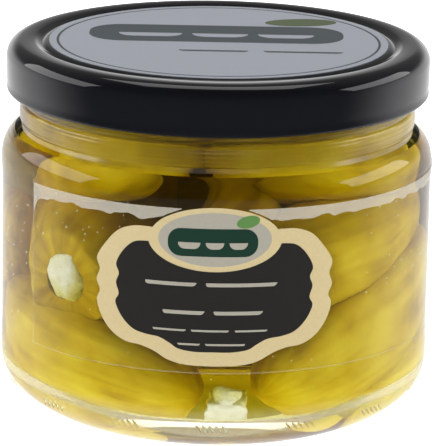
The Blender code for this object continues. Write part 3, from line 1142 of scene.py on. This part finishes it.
def specks_tree():
    """Specks scattered through a drum-shaped layer just inside the glass."""
    tree, inputs, output = new_tree(
        "specks",
        (
            ("Radius", "NodeSocketFloat", 40 * MM),
            ("Low", "NodeSocketFloat", 15 * MM),
            ("Height", "NodeSocketFloat", 30 * MM),
            ("Density", "NodeSocketFloat", 20000.0),
            ("Smallest", "NodeSocketFloat", 0.1 * MM),
            ("Largest", "NodeSocketFloat", 0.3 * MM),
            ("Roughness", "NodeSocketFloat", 0.05 * MM),
            ("Seed", "NodeSocketInt", 1),
            ("Material", "NodeSocketMaterial", None),
        ),
    )
    get = inputs.outputs
    drum = add_node(
        tree,
        "GeometryNodeMeshCylinder",
        {"Vertices": 96, "Radius": get["Radius"], "Depth": get["Height"]},
        fill_type="NONE",
    )
    half = add_node(tree, "ShaderNodeMath", {0: get["Height"], 1: 0.5}, operation="MULTIPLY")
    middle = add_node(tree, "ShaderNodeMath", {0: half.outputs[0], 1: get["Low"]}, operation="ADD")
    shift = add_node(tree, "ShaderNodeCombineXYZ", {"Z": middle.outputs[0]})
    placed = add_node(
        tree, "GeometryNodeTransform", {"Geometry": drum.outputs["Mesh"], "Translation": shift.outputs[0]}
    )
    points = add_node(
        tree,
        "GeometryNodeDistributePointsOnFaces",
        {"Mesh": placed.outputs[0], "Density": get["Density"], "Seed": get["Seed"]},
    )
    ball = add_node(tree, "GeometryNodeMeshIcoSphere", {"Radius": 1.0, "Subdivisions": 2})
    size = add_node(
        tree,
        "FunctionNodeRandomValue",
        {2: get["Smallest"], 3: get["Largest"], "Seed": get["Seed"]},
    )
    specks = add_node(
        tree,
        "GeometryNodeInstanceOnPoints",
        {"Points": points.outputs["Points"], "Instance": ball.outputs["Mesh"], "Scale": size.outputs[1]},
    )
    real = add_node(tree, "GeometryNodeRealizeInstances", {0: specks.outputs[0]})
    uneven = add_node(tree, "ShaderNodeTexNoise", {"Scale": 2500.0, "Detail": 1.0})
    centred = add_node(
        tree,
        "ShaderNodeVectorMath",
        {0: uneven.outputs["Color"], 1: (0.5, 0.5, 0.5)},
        operation="SUBTRACT",
    )
    pushed = add_node(
        tree, "ShaderNodeVectorMath", {0: centred.outputs[0], "Scale": get["Roughness"]}, operation="SCALE"
    )
    moved = add_node(
        tree, "GeometryNodeSetPosition", {"Geometry": real.outputs[0], "Offset": pushed.outputs[0]}
    )
    smooth = add_node(tree, "GeometryNodeSetShadeSmooth", {"Geometry": moved.outputs[0]})
    painted = add_node(
        tree, "GeometryNodeSetMaterial", {"Geometry": smooth.outputs[0], "Material": get["Material"]}
    )
    tree.links.new(painted.outputs[0], output.inputs[0])
    return tree


def make_specks():
    """Crumbs of cheese and fine pulp hanging in the oil by the glass."""
    inputs = {
        "Radius": INNER_R - 0.8 * MM,
        "Low": 17 * MM,
        "Height": 36 * MM,
        "Density": 60000.0,
        "Smallest": 0.05 * MM,
        "Largest": 0.24 * MM,
        "Roughness": 0.25 * MM,
        "Seed": 4,
        "Material": CHEESE,
    }
    ride_root(plain_mesh_from("crumbs", specks_tree(), inputs, CHEESE), "white_cheese")


def stipple_tree():
    """Groups of short slanted ridges round the heel, as a mould leaves them."""
    tree, inputs, output = new_tree(
        "stipple",
        (
            ("Count", "NodeSocketInt", 120),
            ("Radius", "NodeSocketFloat", 30 * MM),
            ("Height", "NodeSocketFloat", 0.5 * MM),
            ("Ridge Size", "NodeSocketVector", (0.4 * MM, 0.4 * MM, 1.8 * MM)),
            ("Tilt", "NodeSocketFloat", 0.3),
            ("Slant", "NodeSocketFloat", 0.6),
            ("Group Pitch", "NodeSocketInt", 14),
            ("Group Size", "NodeSocketInt", 5),
            ("Material", "NodeSocketMaterial", None),
        ),
    )
    get = inputs.outputs
    ring = add_node(
        tree, "GeometryNodeMeshCircle", {"Vertices": get["Count"], "Radius": get["Radius"]}, fill_type="NONE"
    )
    shift = add_node(tree, "ShaderNodeCombineXYZ", {"Z": get["Height"]})
    placed = add_node(
        tree, "GeometryNodeTransform", {"Geometry": ring.outputs["Mesh"], "Translation": shift.outputs[0]}
    )
    place = add_node(tree, "GeometryNodeInputPosition")
    flat = add_node(
        tree, "ShaderNodeVectorMath", {0: place.outputs[0], 1: (1.0, 1.0, 0.0)}, operation="MULTIPLY"
    )
    outward = add_node(
        tree, "FunctionNodeAlignRotationToVector", {"Vector": flat.outputs[0]}, axis="X", pivot_axis="Z"
    )
    tilt = add_node(
        tree, "FunctionNodeAxisAngleToRotation", {"Axis": (0.0, 1.0, 0.0), "Angle": get["Tilt"]}
    )
    tilted = add_node(
        tree,
        "FunctionNodeRotateRotation",
        {"Rotation": outward.outputs[0], "Rotate By": tilt.outputs[0]},
        rotation_space="LOCAL",
    )
    lean = add_node(
        tree, "FunctionNodeAxisAngleToRotation", {"Axis": (1.0, 0.0, 0.0), "Angle": get["Slant"]}
    )
    leaning = add_node(
        tree,
        "FunctionNodeRotateRotation",
        {"Rotation": tilted.outputs[0], "Rotate By": lean.outputs[0]},
        rotation_space="LOCAL",
    )
    index = add_node(tree, "GeometryNodeInputIndex")
    in_pitch = add_node(
        tree, "ShaderNodeMath", {0: index.outputs[0], 1: get["Group Pitch"]}, operation="MODULO"
    )
    kept = add_node(
        tree, "ShaderNodeMath", {0: in_pitch.outputs[0], 1: get["Group Size"]}, operation="LESS_THAN"
    )
    ball = add_node(tree, "GeometryNodeMeshIcoSphere", {"Radius": 0.5, "Subdivisions": 3})
    ridges = add_node(
        tree,
        "GeometryNodeInstanceOnPoints",
        {
            "Points": placed.outputs[0],
            "Selection": kept.outputs[0],
            "Instance": ball.outputs["Mesh"],
            "Rotation": leaning.outputs[0],
            "Scale": get["Ridge Size"],
        },
    )
    real = add_node(tree, "GeometryNodeRealizeInstances", {0: ridges.outputs[0]})
    smooth = add_node(tree, "GeometryNodeSetShadeSmooth", {"Geometry": real.outputs[0]})
    painted = add_node(
        tree, "GeometryNodeSetMaterial", {"Geometry": smooth.outputs[0], "Material": get["Material"]}
    )
    tree.links.new(painted.outputs[0], output.inputs[0])
    return tree


def make_stipple():
    """The ridges stand half out of the heel, a little above the underside."""
    lean_in = math.radians(20)
    inputs = {
        "Count": 208,
        "Radius": RING_OUTER_R + (BODY_R - RING_OUTER_R) * math.cos(lean_in) - 0.05 * MM,
        "Height": HEEL_Z * (1 - math.sin(lean_in)),
        "Ridge Size": (0.35 * MM, 0.5 * MM, 2.0 * MM),
        "Tilt": -lean_in * 0.6,
        "Slant": 0.6,
        "Group Pitch": 14,
        "Group Size": 5,
        "Material": GLASS,
    }
    ride_root(plain_mesh_from("heel_stipple", stipple_tree(), inputs, GLASS), "clear_glass")


# ================================================================ studio
def make_floor():
    """The table, which stands a hair below the jar."""
    floor = bmesh.new()
    bmesh.ops.create_circle(floor, cap_ends=True, segments=96, radius=4.0)
    for vert in floor.verts:
        vert.co.z = -0.05 * MM
    table = from_bmesh("studio_floor", floor, pale_floor())
    table.visible_glossy = False  # so that the glass doesn't carry a pale veil


def add_light(name, degrees, elevation, distance, size, power):
    """A soft rectangular white light that faces the jar's middle."""
    data = bpy.data.lights.new(name, "AREA")
    data.shape = "RECTANGLE"
    data.size = size[0]
    data.size_y = size[1]
    data.energy = power
    light = bpy.data.objects.new(name, data)
    around = math.radians(degrees)
    up = math.radians(elevation)
    away = Vector((math.sin(around) * math.cos(up), -math.cos(around) * math.cos(up), math.sin(up)))
    light.location = Vector((0, 0, 0.04)) + away * distance
    light.rotation_euler = away.to_track_quat("Z", "Y").to_euler()
    bpy.context.scene.collection.objects.link(light)
    return light


def make_world():
    """A white sweep behind and beside the jar, and a dark room in front of it. The lens sees plain white."""
    world = bpy.data.worlds.new("studio")
    bpy.context.scene.world = world
    world.use_nodes = True
    tree = world.node_tree
    tree.nodes.clear()
    way = add_node(tree, "ShaderNodeTexCoord")
    parts = add_node(tree, "ShaderNodeSeparateXYZ", {"Vector": way.outputs["Generated"]})
    behind = add_node(
        tree,
        "ShaderNodeMapRange",
        {
            "Value": parts.outputs["Y"],
            "From Min": -0.35,
            "From Max": 0.45,
            "To Min": 0.02,
            "To Max": 1.1,
        },
        interpolation_type="SMOOTHSTEP",
    )
    low = add_node(
        tree,
        "ShaderNodeMapRange",
        {
            "Value": parts.outputs["Z"],
            "From Min": 0.02,
            "From Max": 0.3,
            "To Min": 1.0,
            "To Max": 0.15,
        },
        interpolation_type="SMOOTHSTEP",
    )
    sweep = add_node(
        tree, "ShaderNodeMath", {0: behind.outputs[0], 1: low.outputs[0]}, operation="MULTIPLY"
    )
    lit = add_node(
        tree, "ShaderNodeBackground", {"Color": colour("#FFFFFF"), "Strength": sweep.outputs[0]}
    )
    plain = add_node(tree, "ShaderNodeBackground", {"Color": colour("#FFFFFF"), "Strength": 1.0})
    path = add_node(tree, "ShaderNodeLightPath")
    mixed = add_node(
        tree,
        "ShaderNodeMixShader",
        {0: path.outputs["Is Camera Ray"], 1: lit.outputs[0], 2: plain.outputs[0]},
    )
    add_node(tree, "ShaderNodeOutputWorld", {"Surface": mixed.outputs[0]})


def make_studio():
    """A table, a room, two long lights beside the jar, one above and behind, and a weak fill in front."""
    make_floor()
    make_world()
    add_light("softbox_left", -100, 25, 0.6, (0.60, 0.26), 1.05)
    add_light("softbox_right", 100, 25, 0.6, (0.55, 0.22), 0.85)
    add_light("overhead", 180, 75, 0.9, (0.7, 0.5), 2.0)
    fill = add_light("front_fill", 0, 30, 0.9, (0.7, 0.5), 1.2)
    fill.visible_glossy = False  # it only lifts the matt things, and leaves no glare on the glass


def make_camera():
    """Eye level a little above the lid, with a long lens."""
    target = Vector((0.33, 0.0, 38.55)) * MM
    elevation = math.radians(15.1)
    distance = 724 * MM
    spot = Vector((0.0, -distance * math.cos(elevation), 40 * MM + distance * math.sin(elevation)))
    data = bpy.data.cameras.new("camera")
    data.lens = 284.0
    data.sensor_width = 36.0
    data.clip_start = 0.01
    data.clip_end = 20.0
    camera = bpy.data.objects.new("camera", data)
    look = (target - spot).to_track_quat("-Z", "Y").to_matrix().to_4x4()
    roll = Matrix.Rotation(math.radians(1.07), 4, "Z")
    camera.matrix_world = Matrix.Translation(spot) @ look @ roll
    bpy.context.scene.collection.objects.link(camera)
    bpy.context.scene.camera = camera
    bpy.context.scene.view_settings.view_transform = "Standard"


make_camera()
make_jar()
make_oil()
make_lid()
make_front_label()
make_lid_label()
make_film()
make_lifted_rim()
make_food()
make_specks()
make_stipple()
make_studio()
